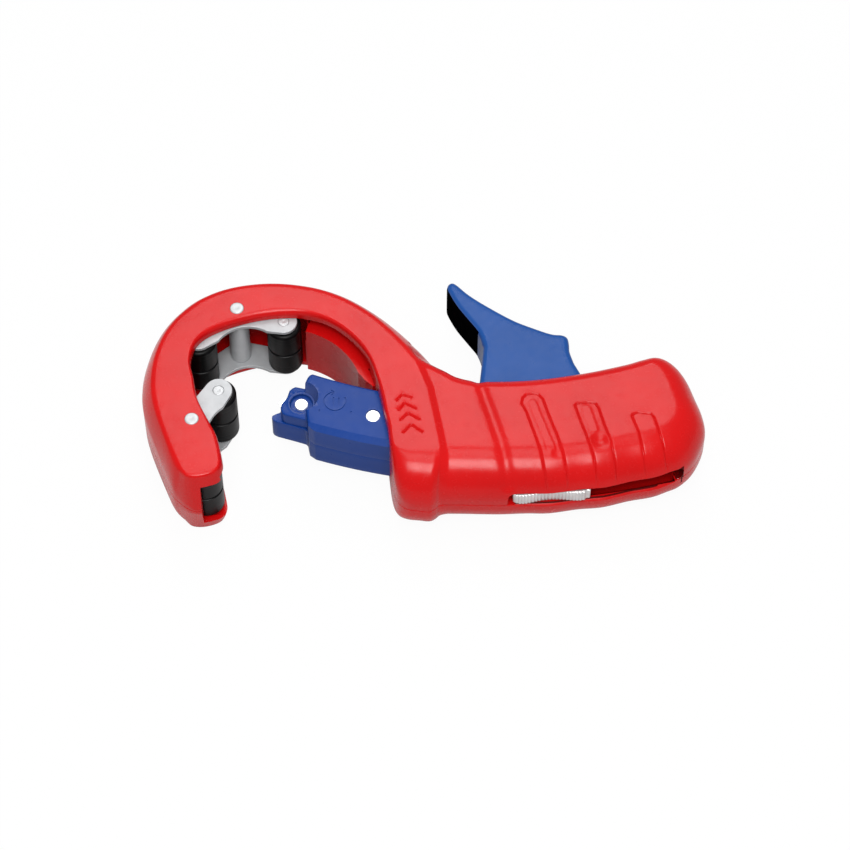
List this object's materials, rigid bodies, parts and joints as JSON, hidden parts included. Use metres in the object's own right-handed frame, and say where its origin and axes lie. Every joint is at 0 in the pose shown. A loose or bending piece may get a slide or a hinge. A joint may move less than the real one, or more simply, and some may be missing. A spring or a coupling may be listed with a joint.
{
  "type": "plastic pipe cutter",
  "caption": "Hooked two-shell cutter for plastic drain pipe: rocking guide rollers, a blade carriage fed along an arc by a thumb slider, and a finned squeeze lever.",
  "frame": {"origin": "axis of the pipe in the hook, at mid thickness, where the two shells part", "axes": "+Z along the pipe's axis and square to the tool's flat side, +X towards the grip's end, +Y towards the lever's fin"},
  "size_m": [0.2014, 0.0928, 0.0363],
  "materials": {
    "shell_red": "smooth moulded, satin gloss",
    "blue_plastic": "smooth moulded",
    "soft_black": "soft grip",
    "roller_black": "turned",
    "plate_steel": "bright zinc plated",
    "pin_steel": "polished pin ends",
    "slider_steel": "ribbed and plated",
    "blade_steel": "ground",
    "dark_steel": "oiled"
  },
  "bodies": {
    "body": {"upper_shell": "shell_red", "lower_shell": "shell_red", "shell_screws": "dark_steel", "hook_rivet_a": "pin_steel", "hook_rivet_b": "pin_steel", "lever_pin": "pin_steel", "brake_leaf": "dark_steel"},
    "carriage": {"carriage_upper": "blue_plastic", "carriage_lower": "blue_plastic", "cutting_blade": "blade_steel", "blade_screw": "pin_steel", "carriage_pin": "pin_steel", "feed_rack": "dark_steel", "thumb_slider": "slider_steel", "slider_screws": "dark_steel"},
    "lever": {"squeeze_lever": "blue_plastic", "lever_pad": "soft_black", "pawl_pin": "pin_steel", "lever_spring": "dark_steel", "pawl_spring": "dark_steel"},
    "pawl": {"feed_pawl": "dark_steel"},
    "rocker_a": {"rocker_a_upper_plate": "plate_steel", "rocker_a_lower_plate": "plate_steel", "rocker_a_bush": "plate_steel", "roller_pin_1": "pin_steel", "roller_pin_2": "pin_steel"},
    "rocker_b": {"rocker_b_upper_plate": "plate_steel", "rocker_b_lower_plate": "plate_steel", "rocker_b_bush": "plate_steel", "roller_pin_3": "pin_steel", "roller_pin_4": "pin_steel"},
    "roller_1": {"roller_1": "roller_black"},
    "roller_2": {"roller_2": "roller_black"},
    "roller_3": {"roller_3": "roller_black"},
    "roller_4": {"roller_4": "roller_black"}
  },
  "joints": [
    {"name": "feed", "type": "hinge", "parent": "body", "child": "carriage", "pos_m": [0.07888, 0.19138, 0], "axis": [0, 0, 1], "range_deg": [0, 8.19]},
    {"name": "lever_squeeze", "type": "hinge", "parent": "body", "child": "lever", "pos_m": [0.12002, -0.00051, 0], "axis": [0, 0, 1], "range_deg": [0, 16], "stiffness_Nm_per_rad": 0.4, "springref_deg": -14.32},
    {"name": "pawl_swing", "type": "hinge", "parent": "lever", "child": "pawl", "pos_m": [0.10802, 0.00149, 0], "axis": [0, 0, 1], "range_deg": [-30, 0]},
    {"name": "rocker_a_swing", "type": "hinge", "parent": "body", "child": "rocker_a", "pos_m": [-0.01698, 0.03101, 0], "axis": [0, 0, 1], "range_deg": [-10, 26]},
    {"name": "rocker_b_swing", "type": "hinge", "parent": "body", "child": "rocker_b", "pos_m": [-0.03147, -0.01611, 0], "axis": [0, 0, 1], "range_deg": [-2, 40]},
    {"name": "roller_1_turn", "type": "hinge", "parent": "rocker_a", "child": "roller_1", "pos_m": [-0.00024, 0.02806, 0], "axis": [0, 0, 1], "continuous": true},
    {"name": "roller_2_turn", "type": "hinge", "parent": "rocker_a", "child": "roller_2", "pos_m": [-0.03073, 0.02102, 0], "axis": [0, 0, 1], "continuous": true},
    {"name": "roller_3_turn", "type": "hinge", "parent": "rocker_b", "child": "roller_3", "pos_m": [-0.02277, -0.0015, 0], "axis": [0, 0, 1], "continuous": true},
    {"name": "roller_4_turn", "type": "hinge", "parent": "rocker_b", "child": "roller_4", "pos_m": [-0.02702, -0.03251, 0], "axis": [0, 0, 1], "continuous": true}
  ],
  "couplings": [
    {"joint": "pawl_swing", "follows": "lever_squeeze", "ratio": -1.87}
  ]
}
